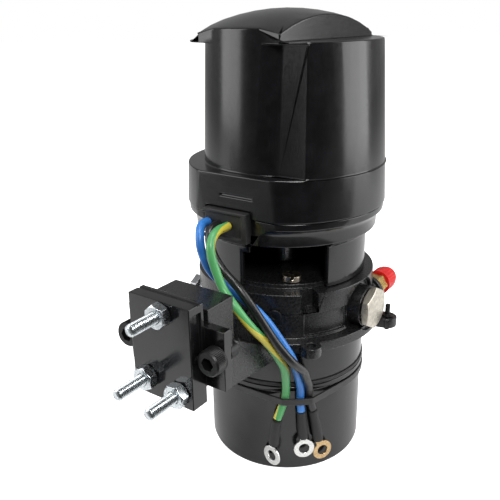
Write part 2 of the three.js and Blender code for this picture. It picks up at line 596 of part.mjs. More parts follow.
add('reservoir', reservoir(), BLACK_GLOSS);
add('reservoir_seal', seal(), RUBBER);
add('reservoir_neck', neck(), BLACK_GLOSS);
add('pump_manifold', manifold(), BLACK_CAST);
add('motor_base', motorBase(), BLACK_GLOSS);
add('motor_cover', cover(), BLACK_SATIN);
add('wire_grommet', grommet(), RUBBER);
add('mounting_bracket', bracket(), BLACK_GLOSS);
STUDS.forEach((place, i) => add(`stud_${i + 1}`, stud(place), ZINC));
STUDS.forEach((place, i) => add(`stud_nut_${i + 1}`, nut(place), ZINC));
add('cap_screw_front', capScrew(-1), BLACK_OXIDE);
add('cap_screw_rear', capScrew(1), BLACK_OXIDE);
add('filler_plug', fillerPlug(), ZINC);
add('port_fitting_front', portFitting(-1), BRASS);
add('port_fitting_rear', portFitting(1), BRASS);
add('port_cap_front', portCap(-1), RED_PLASTIC);
add('port_cap_rear', portCap(1), RED_PLASTIC);
add('gallery_plug', galleryPlug(), STEEL);
add('spool_end_plug', spoolEndPlug(), STEEL);
add('ear_screw', earScrew(), BLACK_OXIDE);
add('release_valve', releaseValve(), NICKEL);
add('cable_tie', cableTie(), BLACK_WIRE);
add('wire_green_yellow', wire(GREEN_ROUTE, 24), GREEN);
add('wire_blue', wire(BLUE_ROUTE, 24), BLUE);
add('wire_black', wire(BLACK_ROUTE, 26), BLACK_WIRE);
add('sleeve_green_yellow', between(SLEEVE_R, GREEN_END.top, GREEN_END.foot), SLEEVE);
add('sleeve_blue', between(SLEEVE_R, BLUE_END.top, BLUE_END.foot), SLEEVE);
add('sleeve_black', between(SLEEVE_R, BLACK_END.top, BLACK_END.foot), SLEEVE);
add('terminal_green_yellow', ringTerminal(GREEN_END.eye, GREEN_END.angle, GREEN_END.foot), ZINC);
add('terminal_blue', ringTerminal(BLUE_END.eye, BLUE_END.angle, BLUE_END.foot), ZINC);
add('terminal_black', ringTerminal(BLACK_END.eye, BLACK_END.angle, BLACK_END.foot), BRASS);
add('motor_can', motorCan(), STEEL);
add('magnet_left', magnet(0), FERRITE);
add('magnet_right', magnet(180), FERRITE);
add('armature_shaft', armatureShaft(), STEEL);
add('armature_core', armatureCore(), STEEL);
add('winding_upper', winding(214.3, 224), COPPER);
add('winding_lower', winding(169, 179.7), COPPER);
add('commutator', tube(15.4, 6.3, 151, 163.4, 32), COPPER);
add('top_bearing', bearing(229), STEEL);
add('bottom_bearing', bearing(HOUSING.floor + 1.3), STEEL);
add('brush_plate', brushPlate(), BLACK_SATIN);
add('brush_left', brush(-1), CARBON);
add('brush_right', brush(1), CARBON);
add('drive_gear', driveGear(), STEEL);
add('driven_gear', idlerGear(), STEEL);
add('end_plate', endPlate(), STEEL);
END_BOLTS.forEach((place, i) => add(`end_plate_bolt_${i + 1}`, endBolt(place), BLACK_OXIDE));
add('pickup_tube', pickupTube(), ZINC);
add('inlet_filter', inletFilter(), MESH_STEEL);
add('shuttle_spool', shuttleSpool(), STEEL);

export default unit;
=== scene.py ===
"""Looks of an electro-hydraulic pump unit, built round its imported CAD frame."""
import logging
import math
from dataclasses import dataclass, field
from enum import Enum
from typing import Callable, Sequence

import bpy
from mathutils import Matrix, Vector


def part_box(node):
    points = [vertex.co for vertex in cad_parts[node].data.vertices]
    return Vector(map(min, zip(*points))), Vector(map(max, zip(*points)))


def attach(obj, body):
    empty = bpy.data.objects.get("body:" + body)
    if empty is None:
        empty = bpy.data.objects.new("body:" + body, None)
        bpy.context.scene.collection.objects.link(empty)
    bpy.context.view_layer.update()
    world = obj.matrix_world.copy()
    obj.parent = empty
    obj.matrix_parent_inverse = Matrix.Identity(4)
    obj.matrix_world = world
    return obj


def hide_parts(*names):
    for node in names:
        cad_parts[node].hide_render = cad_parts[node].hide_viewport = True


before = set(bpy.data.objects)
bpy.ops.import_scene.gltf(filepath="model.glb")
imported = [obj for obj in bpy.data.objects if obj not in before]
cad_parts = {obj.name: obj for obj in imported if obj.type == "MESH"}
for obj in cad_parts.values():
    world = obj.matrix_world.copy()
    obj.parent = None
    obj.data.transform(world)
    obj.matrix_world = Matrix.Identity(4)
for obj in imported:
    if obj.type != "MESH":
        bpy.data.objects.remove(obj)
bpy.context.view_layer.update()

Point = tuple[float, float, float]
MM = 0.001
MERGE_REACH = 0.000004    # corners of CAD triangles this close are one corner, in metres
FLAT_ANGLE = 0.6          # CAD triangles within this angle lie on one flat face, in degrees
CHAMFER = 0.9             # height of the turned corner of a hexagon, in mm
LOG = logging.getLogger("pump_unit")


# ---------------------------------------------------------------- finishes


class Grain(Enum):
    """What a finish's surface is made of, at close range."""

    PAINT = "paint"
    CAST = "cast"
    TURNED = "turned"
    PLATED = "plated"
    MOULDED = "moulded"
    STRIPED = "striped"
    WOUND = "wound"


@dataclass(frozen=True)
class Finish:
    """One procedural finish: two shades, a roughness range and a surface grain."""

    name: str
    color: Point
    shade: Point
    roughness: float
    spread: float
    metallic: float = 0.0
    grain: Grain = Grain.PAINT
    size: float = 400.0
    relief: float = 0.00002
    slot: str = "black_gloss_paint"

    CLOUD_SCALE = 0.12       # broad noise, as a share of the fine noise's scale
    SHADE_FROM, SHADE_TO = 0.38, 0.68
    STRIPE_TURN = 0.11       # turns of the stripe for each unit along the UV map
    STRIPE_SHARE = 0.33
    WAVE_SCALE, WAVE_BEND = 0.5, 1.2
    CELL_SCALE = 1.6
    RELIEF_STRENGTH = 0.6

    def material(self) -> bpy.types.Material:
        """Returns the finish's material, made on its first use."""
        made = bpy.data.materials.get(self.name)
        return made if made else self._build()

    def _build(self) -> bpy.types.Material:
        """Makes the material's nodes.

        Returns:
            The new material.
        """
        material = bpy.data.materials.new(self.name)
        material.use_nodes = True
        tree = material.node_tree
        shader = next(n for n in tree.nodes if n.type == "BSDF_PRINCIPLED")
        shader.inputs["Metallic"].default_value = self.metallic
        place = tree.nodes.new("ShaderNodeTexCoord").outputs["Object"]
        cloud = self._noise(tree, place, self.size * self.CLOUD_SCALE, 4.0)
        fine = self._noise(tree, place, self.size, 6.0)
        self._colour(tree, shader, cloud, fine)
        self._roughness(tree, shader, cloud, fine)
        self._bump(tree, shader, place, fine)
        return material

    def _noise(self, tree: bpy.types.NodeTree, place: bpy.types.NodeSocket, scale: float,
               detail: float) -> bpy.types.NodeSocket:
        """Adds a noise texture.

        Args:
            tree: The material's nodes.
            place: The coordinates it reads.
            scale: Cycles per metre.
            detail: Octaves.

        Returns:
            Its value socket.
        """
        noise = tree.nodes.new("ShaderNodeTexNoise")
        noise.inputs["Scale"].default_value = scale
        noise.inputs["Detail"].default_value = detail
        noise.inputs["Roughness"].default_value = 0.6
        tree.links.new(place, noise.inputs["Vector"])
        return noise.outputs["Fac"]

    def _ramp(self, tree: bpy.types.NodeTree, value: bpy.types.NodeSocket, low: float, high: float,
              first: Point, last: Point) -> bpy.types.NodeSocket:
        """Adds a colour ramp between two shades and returns its colour socket."""
        ramp = tree.nodes.new("ShaderNodeValToRGB")
        ramp.color_ramp.elements[0].position = low
        ramp.color_ramp.elements[1].position = high
        ramp.color_ramp.elements[0].color = (*first, 1)
        ramp.color_ramp.elements[1].color = (*last, 1)
        tree.links.new(value, ramp.inputs["Fac"])
        return ramp.outputs["Color"]

    def _colour(self, tree: bpy.types.NodeTree, shader: bpy.types.Node, cloud: bpy.types.NodeSocket,
                fine: bpy.types.NodeSocket) -> None:
        """Links the base colour: clouded shades, or bands along the piece's own UV map.

        Args:
            tree: The material's nodes.
            shader: The surface shader.
            cloud: Broad noise.
            fine: Fine noise.
        """
        source = cloud if self.grain in (Grain.PAINT, Grain.MOULDED) else fine
        colour = self._ramp(tree, source, self.SHADE_FROM, self.SHADE_TO, self.color, self.shade)
        if self.grain is Grain.STRIPED:
            uv = tree.nodes.new("ShaderNodeUVMap")
            parts = tree.nodes.new("ShaderNodeSeparateXYZ")
            tree.links.new(uv.outputs["UV"], parts.inputs["Vector"])
            turn = tree.nodes.new("ShaderNodeMath")
            turn.operation = "MULTIPLY_ADD"
            turn.inputs[1].default_value = self.STRIPE_TURN
            tree.links.new(parts.outputs["X"], turn.inputs[0])
            tree.links.new(parts.outputs["Y"], turn.inputs[2])
            wrap = tree.nodes.new("ShaderNodeMath")
            wrap.operation = "FRACT"
            tree.links.new(turn.outputs["Value"], wrap.inputs[0])
            edge = self.STRIPE_SHARE
            colour = self._ramp(tree, wrap.outputs["Value"], edge, edge + 0.02, self.shade, self.color)
        tree.links.new(colour, shader.inputs["Base Color"])

    def _roughness(self, tree: bpy.types.NodeTree, shader: bpy.types.Node, cloud: bpy.types.NodeSocket,
                   fine: bpy.types.NodeSocket) -> None:
        """Links a roughness that wanders about its middle value.

        Args:
            tree: The material's nodes.
            shader: The surface shader.
            cloud: Broad noise.
            fine: Fine noise.
        """
        span = tree.nodes.new("ShaderNodeMapRange")
        span.inputs["From Min"].default_value = 0.3
        span.inputs["From Max"].default_value = 0.7
        span.inputs["To Min"].default_value = max(0.03, self.roughness - self.spread)
        span.inputs["To Max"].default_value = min(1.0, self.roughness + self.spread)
        tree.links.new(cloud if self.grain is Grain.PAINT else fine, span.inputs["Value"])
        tree.links.new(span.outputs["Result"], shader.inputs["Roughness"])

    def _bump(self, tree: bpy.types.NodeTree, shader: bpy.types.Node, place: bpy.types.NodeSocket,
              fine: bpy.types.NodeSocket) -> None:
        """Links the relief: peel, casting grain, tool rings, winding turns or mould texture.

        Args:
            tree: The material's nodes.
            shader: The surface shader.
            place: Object coordinates.
            fine: Fine noise.
        """
        height = fine
        if self.grain in (Grain.TURNED, Grain.WOUND):
            wave = tree.nodes.new("ShaderNodeTexWave")
            wave.wave_type = "RINGS"
            wave.rings_direction = "SPHERICAL"
            wave.inputs["Scale"].default_value = self.size * self.WAVE_SCALE
            wave.inputs["Distortion"].default_value = self.WAVE_BEND
            tree.links.new(place, wave.inputs["Vector"])
            height = wave.outputs["Fac"]
        elif self.grain is Grain.CAST:
            cells = tree.nodes.new("ShaderNodeTexVoronoi")
            cells.inputs["Scale"].default_value = self.size * self.CELL_SCALE
            tree.links.new(place, cells.inputs["Vector"])
            height = cells.outputs["Distance"]
        bump = tree.nodes.new("ShaderNodeBump")
        bump.inputs["Strength"].default_value = self.RELIEF_STRENGTH
        bump.inputs["Distance"].default_value = self.relief
        tree.links.new(height, bump.inputs["Height"])
        tree.links.new(bump.outputs["Normal"], shader.inputs["Normal"])


GLOSS_ENAMEL = Finish("gloss_enamel", (0.004, 0.004, 0.0045), (0.009, 0.009, 0.01), 0.16, 0.05,
                      size=700, relief=0.000006, slot="black_gloss_paint")
COVER_SHELL = Finish("cover_shell", (0.004, 0.004, 0.0045), (0.008, 0.008, 0.009), 0.2, 0.05,
                     grain=Grain.MOULDED, size=900, relief=0.000005, slot="black_cover")
CAST_ENAMEL = Finish("cast_enamel", (0.005, 0.005, 0.0055), (0.014, 0.014, 0.015), 0.3, 0.1,
                     grain=Grain.CAST, size=900, relief=0.000022, slot="black_cast")
SOFT_RUBBER = Finish("soft_rubber", (0.006, 0.006, 0.006), (0.014, 0.014, 0.014), 0.62, 0.14,
                     grain=Grain.MOULDED, size=1400, relief=0.00004, slot="rubber")
BRIGHT_ZINC = Finish("bright_zinc", (0.66, 0.7, 0.72), (0.44, 0.48, 0.5), 0.26, 0.1, metallic=1,
                     grain=Grain.PLATED, size=900, relief=0.00002, slot="zinc")
DULL_NICKEL = Finish("dull_nickel", (0.56, 0.5, 0.4), (0.4, 0.35, 0.28), 0.3, 0.1, metallic=1,
                     grain=Grain.PLATED, size=600, relief=0.00002, slot="nickel")
PLUG_ZINC = Finish("plug_zinc", (0.6, 0.56, 0.48), (0.42, 0.39, 0.33), 0.34, 0.1, metallic=1,
                   grain=Grain.PLATED, size=500, relief=0.00003, slot="zinc")
TURNED_STEEL = Finish("turned_steel", (0.46, 0.47, 0.49), (0.36, 0.37, 0.38), 0.3, 0.08, metallic=1,
                      grain=Grain.TURNED, size=3000, relief=0.00002, slot="steel")
BLACK_OXIDE = Finish("black_oxide", (0.02, 0.02, 0.022), (0.05, 0.05, 0.052), 0.38, 0.1, metallic=0.8,
                     grain=Grain.PLATED, size=1200, relief=0.00002, slot="black_oxide")
TURNED_BRASS = Finish("turned_brass", (0.72, 0.5, 0.18), (0.55, 0.36, 0.12), 0.24, 0.08, metallic=1,
                      grain=Grain.TURNED, size=3000, relief=0.00002, slot="brass")
RED_CAP = Finish("red_cap", (0.68, 0.012, 0.01), (0.5, 0.006, 0.006), 0.42, 0.08,
                 grain=Grain.MOULDED, size=900, relief=0.00002, slot="red_plastic")
BLUE_PVC = Finish("blue_pvc", (0.035, 0.19, 0.55), (0.02, 0.12, 0.4), 0.36, 0.08,
                  grain=Grain.MOULDED, size=900, relief=0.00002, slot="wire_blue")
GREEN_PVC = Finish("green_pvc", (0.07, 0.3, 0.1), (0.55, 0.47, 0.05), 0.36, 0.08,
                   grain=Grain.STRIPED, size=900, relief=0.00002, slot="wire_green_yellow")
BLACK_PVC = Finish("black_pvc", (0.006, 0.006, 0.0065), (0.013, 0.013, 0.014), 0.32, 0.08,
                   grain=Grain.MOULDED, size=900, relief=0.00002, slot="wire_black")
HEAT_SHRINK = Finish("heat_shrink", (0.007, 0.007, 0.007), (0.016, 0.016, 0.016), 0.48, 0.1,
                     grain=Grain.MOULDED, size=1600, relief=0.00004, slot="heat_shrink")
TIN_PLATE = Finish("tin_plate", (0.72, 0.72, 0.7), (0.55, 0.55, 0.54), 0.3, 0.1, metallic=1,
                   grain=Grain.PLATED, size=1200, relief=0.00002, slot="tinned")
BARE_COPPER = Finish("bare_copper", (0.62, 0.46, 0.26), (0.42, 0.27, 0.13), 0.34, 0.1, metallic=1,
                     grain=Grain.PLATED, size=1200, relief=0.00002, slot="brass")
WOUND_COPPER = Finish("wound_copper", (0.6, 0.24, 0.1), (0.34, 0.12, 0.05), 0.3, 0.08, metallic=1,
                      grain=Grain.WOUND, size=2200, relief=0.0002, slot="copper")
FERRITE = Finish("ferrite_block", (0.03, 0.03, 0.033), (0.06, 0.06, 0.063), 0.7, 0.1,
                 grain=Grain.CAST, size=900, slot="ferrite")
CARBON = Finish("carbon_block", (0.02, 0.02, 0.02), (0.05, 0.05, 0.05), 0.7, 0.1,
                grain=Grain.CAST, size=900, slot="carbon")
NYLON = Finish("black_nylon", (0.008, 0.008, 0.008), (0.016, 0.016, 0.016), 0.4, 0.1,
               grain=Grain.MOULDED, size=1200, relief=0.00002, slot="nylon")


# ---------------------------------------------------------------- modelling helpers


def deselect_all() -> None:
    """Leaves edit mode and clears the selection."""
    if bpy.context.object and bpy.context.object.mode != "OBJECT":
        bpy.ops.object.mode_set(mode="OBJECT")
    bpy.ops.object.select_all(action="DESELECT")


def activate(obj: bpy.types.Object) -> bpy.types.Object:
    """Makes obj the one selected, active object and returns it."""
    deselect_all()
    obj.select_set(True)
    bpy.context.view_layer.objects.active = obj
    return obj


def apply_modifier(obj: bpy.types.Object, kind: str, **settings: object) -> None:
    """Adds a modifier with these settings and applies it.

    Args:
        obj: The piece.
        kind: The modifier's type.
        **settings: Its properties.
    """
    activate(obj)
    modifier = obj.modifiers.new(kind.lower(), kind)
    for key, value in settings.items():
        setattr(modifier, key, value)
    bpy.ops.object.modifier_apply(modifier=modifier.name)


def bake_place(obj: bpy.types.Object) -> None:
    """Puts the object's place into its mesh."""
    activate(obj)
    bpy.ops.object.transform_apply(location=True, rotation=True, scale=True)


def soften(obj: bpy.types.Object, width: float, segments: int = 2, angle: float = 35.0) -> None:
    """Rounds a piece's sharp edges a little and shades it smooth between them.

    Args:
        obj: The piece.
        width: The rounding's width, in metres.
        segments: Steps across the rounding.
        angle: Edges sharper than this are rounded, in degrees.
    """
    if width > 0:
        apply_modifier(obj, "BEVEL", width=width, segments=segments, limit_method="ANGLE",
                       angle_limit=math.radians(angle), use_clamp_overlap=False)
    activate(obj)
    bpy.ops.object.shade_smooth_by_angle(angle=math.radians(angle))
    if width > 0:
        apply_modifier(obj, "WEIGHTED_NORMAL", keep_sharp=True, weight=100)


def finish_piece(obj: bpy.types.Object, name: str, look: Finish, body: str = "unit",
                 nodes: Sequence[str] = ()) -> bpy.types.Object:
    """Names and dresses a piece, and ties it to its body and to the CAD nodes it stands for.

    Args:
        obj: The piece.
        name: Its name.
        look: Its finish.
        body: The CAD body it rides on.
        nodes: The CAD nodes it replaces.

    Returns:
        The piece.
    """
    obj.name = name
    obj.data.name = name
    obj.data.materials.clear()
    obj.data.materials.append(look.material())
    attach(obj, body)
    if nodes:
        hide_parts(*nodes)
    LOG.info("%s: %d faces", name, len(obj.data.polygons))
    return obj


def merged_copy(node: str) -> bpy.types.Object:
    """Copies a CAD node into a mesh of its own, with its loose triangles merged into flat faces."""
    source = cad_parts[node]
    obj = bpy.data.objects.new(node + "_copy", source.data.copy())
    bpy.context.scene.collection.objects.link(obj)
    activate(obj)
    bpy.ops.object.mode_set(mode="EDIT")
    bpy.ops.mesh.select_all(action="SELECT")
    bpy.ops.mesh.remove_doubles(threshold=MERGE_REACH)
    bpy.ops.mesh.dissolve_limited(angle_limit=math.radians(FLAT_ANGLE))
    bpy.ops.object.mode_set(mode="OBJECT")
    return obj


def aimed(direction: Sequence[float], place: Sequence[float]) -> Matrix:
    """The matrix that carries something built along +Z to a place, pointing along direction."""
    turn = Vector((0, 0, 1)).rotation_difference(Vector(direction)).to_matrix().to_4x4()
    return Matrix.Translation(Vector(place)) @ turn


def placed(obj: bpy.types.Object, matrix: Matrix) -> bpy.types.Object:
    """Moves a piece by a matrix and bakes it in, and returns the piece."""
    obj.matrix_world = matrix @ obj.matrix_world
    bake_place(obj)
    return obj


def own_copy(obj: bpy.types.Object) -> bpy.types.Object:
    """Returns a copy of a piece with its own mesh."""
    twin = bpy.data.objects.new(obj.name + "_twin", obj.data.copy())
    bpy.context.scene.collection.objects.link(twin)
    return twin


def drop(obj: bpy.types.Object) -> None:
    """Deletes a helper object."""
    bpy.data.objects.remove(obj, do_unlink=True)


def cylinder(radius: float, bottom: float, top: float, sides: int = 48) -> bpy.types.Object:
    """Adds a cylinder along Z between two heights, in metres, and returns it."""
    deselect_all()
    bpy.ops.mesh.primitive_cylinder_add(vertices=sides, radius=radius, depth=top - bottom,
                                        location=(0, 0, (top + bottom) / 2))
    obj = bpy.context.object
    bake_place(obj)
    return obj


def combine(obj: bpy.types.Object, tool: bpy.types.Object, operation: str) -> bpy.types.Object:
    """Joins, cuts or intersects obj with a tool, then deletes the tool, and returns obj."""
    apply_modifier(obj, "BOOLEAN", operation=operation, object=tool, solver="EXACT")
    drop(tool)
    return obj


def shape_rings(obj: bpy.types.Object, radius_at: Callable[[float, float], float]) -> None:
    """Moves each vertex of a Z-along piece to a new radius.

    Args:
        obj: The piece.
        radius_at: Gives the radius for a height and an angle.
    """
    for vertex in obj.data.vertices:
        x, y, z = vertex.co
        if math.hypot(x, y) > 1e-6:
            angle = math.atan2(y, x)
            r = radius_at(z, angle)
            vertex.co = (r * math.cos(angle), r * math.sin(angle), z)


def ringed_rod(radius: float, heights: Sequence[float], sides: int) -> bpy.types.Object:
    """Builds a rod along +Z from a disc that is extruded once per height step.

    Args:
        radius: The starting radius.
        heights: Rising heights, in metres, of which the first is the disc's own.
        sides: Sides of the disc.

    Returns:
        The closed rod.
    """
    deselect_all()
    bpy.ops.mesh.primitive_circle_add(vertices=sides, radius=radius, fill_type="NGON",
                                      location=(0, 0, heights[0]))
    obj = bpy.context.object
    bake_place(obj)
    bpy.ops.object.mode_set(mode="EDIT")
    bpy.ops.mesh.select_all(action="SELECT")
    for low, high in zip(heights, heights[1:]):
        bpy.ops.mesh.extrude_region_move(TRANSFORM_OT_translate={"value": (0, 0, high - low)})
    bpy.ops.mesh.select_all(action="SELECT")
    bpy.ops.mesh.normals_make_consistent(inside=False)
    bpy.ops.object.mode_set(mode="OBJECT")
    return obj


def smooth_route(points: Sequence[Point], step: float) -> list[Vector]:
    """Resamples a centripetal curve through the points at about one step.

    Args:
        points: The route, in metres.
        step: Spacing, in metres.

    Returns:
        The resampled points.
    """
    nodes = [Vector(p) for p in points]
    nodes = [nodes[0] * 2 - nodes[1], *nodes, nodes[-1] * 2 - nodes[-2]]
    route = [nodes[1]]
    for a, b, c, d in zip(nodes, nodes[1:], nodes[2:], nodes[3:]):
        times = [0.0]
        for start, stop in ((a, b), (b, c), (c, d)):
            times.append(times[-1] + max((stop - start).length, 1e-9) ** 0.5)
        count = max(1, round((c - b).length / step))
        for i in range(1, count + 1):
            t = times[1] + (times[2] - times[1]) * i / count
            route.append(_barry_goldman((a, b, c, d), times, t))
    return route


def _barry_goldman(points: Sequence[Vector], times: Sequence[float], t: float) -> Vector:
    """One point of a centripetal curve through four points at their times."""
    level = list(points)
    for depth in (1, 2):
        level = [_mix(level[i], level[i + 1], times, i, depth, t) for i in range(len(level) - 1)]
    share = (t - times[1]) / (times[2] - times[1])
    return level[0].lerp(level[1], share)


def _mix(first: Vector, second: Vector, times: Sequence[float], i: int, depth: int, t: float) -> Vector:
    """Blends two neighbours of one level of the curve's pyramid."""
    low, high = times[i], times[i + depth]
    return first * ((high - t) / (high - low)) + second * ((t - low) / (high - low))


def swept_tube(name: str, route: Sequence[Vector], radius_at: Callable[[float], float],
               sides: int = 20) -> bpy.types.Object:
    """Builds a closed round tube along a route, with UV running along it and round it.

    Args:
        name: The object's name.
        route: Close points along the middle.
        radius_at: Gives the radius for a share of the length from 0 to 1.
        sides: Sides of the section.

    Returns:
        The tube.
    """
    along = [0.0]
    for a, b in zip(route, route[1:]):
        along.append(along[-1] + (b - a).length)
    tangents = [(route[min(i + 1, len(route) - 1)] - route[max(i - 1, 0)]).normalized()
                for i in range(len(route))]
    side = tangents[0].orthogonal().normalized()
    vertices: list[Vector] = []
    for point, tangent, distance in zip(route, tangents, along):
        side = (side - tangent * side.dot(tangent)).normalized()
        up = tangent.cross(side)
        r = radius_at(distance / along[-1])
        for k in range(sides):
            angle = 2 * math.pi * k / sides
            vertices.append(point + side * (r * math.cos(angle)) + up * (r * math.sin(angle)))
    faces = [(i * sides + k, i * sides + (k + 1) % sides, (i + 1) * sides + (k + 1) % sides,
              (i + 1) * sides + k) for i in range(len(route) - 1) for k in range(sides)]
    last = (len(route) - 1) * sides
    faces += [tuple(range(sides))[::-1], tuple(range(last, last + sides))]
    mesh = bpy.data.meshes.new(name)
    mesh.from_pydata(vertices, [], faces)
    layer = mesh.uv_layers.new(name="UVMap")
    for polygon in mesh.polygons:
        wraps = any(mesh.loops[i].vertex_index % sides == sides - 1 for i in polygon.loop_indices)
        for i in polygon.loop_indices:
            row, k = divmod(mesh.loops[i].vertex_index, sides)
            around = (k + sides if wraps and k == 0 else k) / sides
            layer.data[i].uv = (along[row] * 100, around)
    obj = bpy.data.objects.new(name, mesh)
    bpy.context.scene.collection.objects.link(obj)
    activate(obj)
    bpy.ops.object.shade_smooth_by_angle(angle=math.radians(50))
    return obj


# ---------------------------------------------------------------- camera and studio


@dataclass
class Studio:
    """The camera, a pale floor and soft light. Lengths are in metres."""

    eye: Point = (-0.29973, -0.18948, 0.25329)
    right: Point = (0.578643, -0.815431, -0.015590)
    up: Point = (0.293763, 0.190551, 0.936692)
    lens: float = 46.23
    floor_size: float = 6.0
    floor_front: float = 0.17
    room_light: float = 0.45
    room_dark: float = 0.04
    aim_height: float = 0.13
    sensor: float = 36.0

    def build(self) -> None:
        """Makes the camera, the floor and the lights."""
        self._camera()
        self._floor()
        self._lights()

    def _camera(self) -> None:
        """Places the camera by its own axes."""
        data = bpy.data.cameras.new("view")
        data.lens = self.lens
        data.sensor_width = self.sensor
        data.clip_start = 0.01
        camera = bpy.data.objects.new("view", data)
        bpy.context.scene.collection.objects.link(camera)
        right, up = Vector(self.right).normalized(), Vector(self.up).normalized()
        back = right.cross(up)
        turn = Matrix((right, up, back)).transposed().to_4x4()
        camera.matrix_world = Matrix.Translation(Vector(self.eye)) @ turn
        bpy.context.scene.camera = camera

    def _floor(self) -> None:
        """Lays a plain pale floor under the unit, from a little way in front of it to far behind."""
        deselect_all()
        away = -Vector((self.eye[0], self.eye[1], 0)).normalized()
        centre = away * (self.floor_size / 2 - self.floor_front)
        bpy.ops.mesh.primitive_plane_add(size=self.floor_size, location=(centre.x, centre.y, -0.0005),
                                         rotation=(0, 0, math.atan2(away.y, away.x)))
        floor = bpy.context.object
        floor.name = "floor"
        material = bpy.data.materials.new("pale_floor")
        material.use_nodes = True
        shader = next(n for n in material.node_tree.nodes if n.type == "BSDF_PRINCIPLED")
        shader.inputs["Base Color"].default_value = (0.95, 0.95, 0.95, 1)
        shader.inputs["Roughness"].default_value = 0.9
        shader.inputs["Emission Color"].default_value = (1, 1, 1, 1)
        path = material.node_tree.nodes.new("ShaderNodeLightPath")
        material.node_tree.links.new(path.outputs["Is Camera Ray"], shader.inputs["Emission Strength"])
        floor.data.materials.append(material)

    def _lights(self) -> None:
        """Sets a room that is dark in front, broad panels at both sides, a key light and one overhead."""
        world = bpy.data.worlds.new("room")
        world.use_nodes = True
        self._room(world.node_tree)
        bpy.context.scene.world = world
        bpy.context.scene.view_settings.view_transform = "Standard"
        self._panel("panel_right", (0.5, -0.95, 0.45), (0.8, 0.9), 9)
        self._panel("panel_left", (-0.75, 0.85, 0.5), (0.75, 0.9), 7)
        self._panel("key", (-0.75, -0.75, 0.95), (0.35, 0.35), 11)
        self._panel("overhead", (-0.25, -0.1, 1.2), (0.5, 0.5), 7)

    def _room(self, tree: bpy.types.NodeTree) -> None:
        """Makes the room white where it is seen, and dark on the near side where it only lights the unit.

        Args:
            tree: The world's nodes.
        """
        seen = tree.nodes["Background"]
        seen.inputs["Color"].default_value = (1, 1, 1, 1)
        seen.inputs["Strength"].default_value = 1.0
        place = tree.nodes.new("ShaderNodeTexCoord")
        near = tree.nodes.new("ShaderNodeVectorMath")
        near.operation = "DOT_PRODUCT"
        near.inputs[1].default_value = Vector((self.eye[0], self.eye[1], 0.12)).normalized()
        span = tree.nodes.new("ShaderNodeMapRange")
        span.interpolation_type = "SMOOTHSTEP"
        span.inputs["From Min"].default_value = 0.2
        span.inputs["From Max"].default_value = 0.8
        span.inputs["To Min"].default_value = self.room_light
        span.inputs["To Max"].default_value = self.room_dark
        dim = tree.nodes.new("ShaderNodeBackground")
        mix = tree.nodes.new("ShaderNodeMixShader")
        path = tree.nodes.new("ShaderNodeLightPath")
        tree.links.new(place.outputs["Generated"], near.inputs[0])
        tree.links.new(near.outputs["Value"], span.inputs["Value"])
        tree.links.new(span.outputs["Result"], dim.inputs["Strength"])
        tree.links.new(path.outputs["Is Camera Ray"], mix.inputs["Fac"])
        tree.links.new(dim.outputs["Background"], mix.inputs[1])
        tree.links.new(seen.outputs["Background"], mix.inputs[2])
        tree.links.new(mix.outputs["Shader"], tree.nodes["World Output"].inputs["Surface"])

    def _panel(self, name: str, place: Point, size: tuple[float, float], power: float) -> None:
        """Adds an area light that faces the unit's middle.

        Args:
            name: The light's name.
            place: Where it stands, in metres.
            size: Its width and height, in metres.
            power: Watts.
        """
        data = bpy.data.lights.new(name, "AREA")
        data.shape = "RECTANGLE"
        data.size, data.size_y = size
        data.energy = power
        light = bpy.data.objects.new(name, data)
        bpy.context.scene.collection.objects.link(light)
        towards = Vector((0, 0, self.aim_height)) - Vector(place)
        turn = towards.to_track_quat("-Z", "Y").to_matrix().to_4x4()
        light.matrix_world = Matrix.Translation(Vector(place)) @ turn


# ---------------------------------------------------------------- wiring


@dataclass
class Lead:
    """One motor lead: its route from the grommet, its sleeve and its ring terminal. Sizes in mm."""

    color: str
    look: Finish
    terminal_look: Finish
    route: list[Point]
    sleeve: tuple[Point, Point]
    radius: float = 2.3
    sleeve_radius: float = 2.9
    step: float = 1.1
    stamped_edge: float = 0.28

    def build(self) -> None:
        points = [tuple(v * MM for v in p) for p in self.route]
        route = smooth_route(points, self.step * MM)
        wire = swept_tube(f"wire_{self.color}", route, lambda share: self.radius * MM, 20)
        finish_piece(wire, f"lead_{self.color}", self.look, nodes=[f"wire_{self.color}"])
        sleeve = self._sleeve()
        terminal = self._terminal()

    def _sleeve(self) -> bpy.types.Object:
        """Builds the shrunk sleeve, waisted between the wire and the terminal's barrel.

        Returns:
            The sleeve.
        """
        top, foot = (Vector(p) * MM for p in self.sleeve)
        steps = 26
        route = [top.lerp(foot, i / steps) for i in range(steps + 1)]

        def radius(share: float) -> float:
            """The sleeve's radius: rolled ends, a wire part and a fuller barrel part."""
            swell = 1 / (1 + math.exp(-(share - 0.45) * 22))
            ends = min(1.0, 0.93 + min(share, 1 - share) * 3)
            return self.sleeve_radius * MM * (0.93 + 0.07 * swell) * ends

        sleeve = swept_tube(f"sleeve_{self.color}", route, radius, 24)
        return finish_piece(sleeve, f"shrink_{self.color}", HEAT_SHRINK, nodes=[f"sleeve_{self.color}"])

    def _terminal(self) -> bpy.types.Object:
        """Rounds the stamped edges of the ring terminal and returns it."""
        eye = merged_copy(f"terminal_{self.color}")
        soften(eye, self.stamped_edge * MM, 2, 40)
        return finish_piece(eye, f"eye_{self.color}", self.terminal_look,
                            nodes=[f"terminal_{self.color}"])


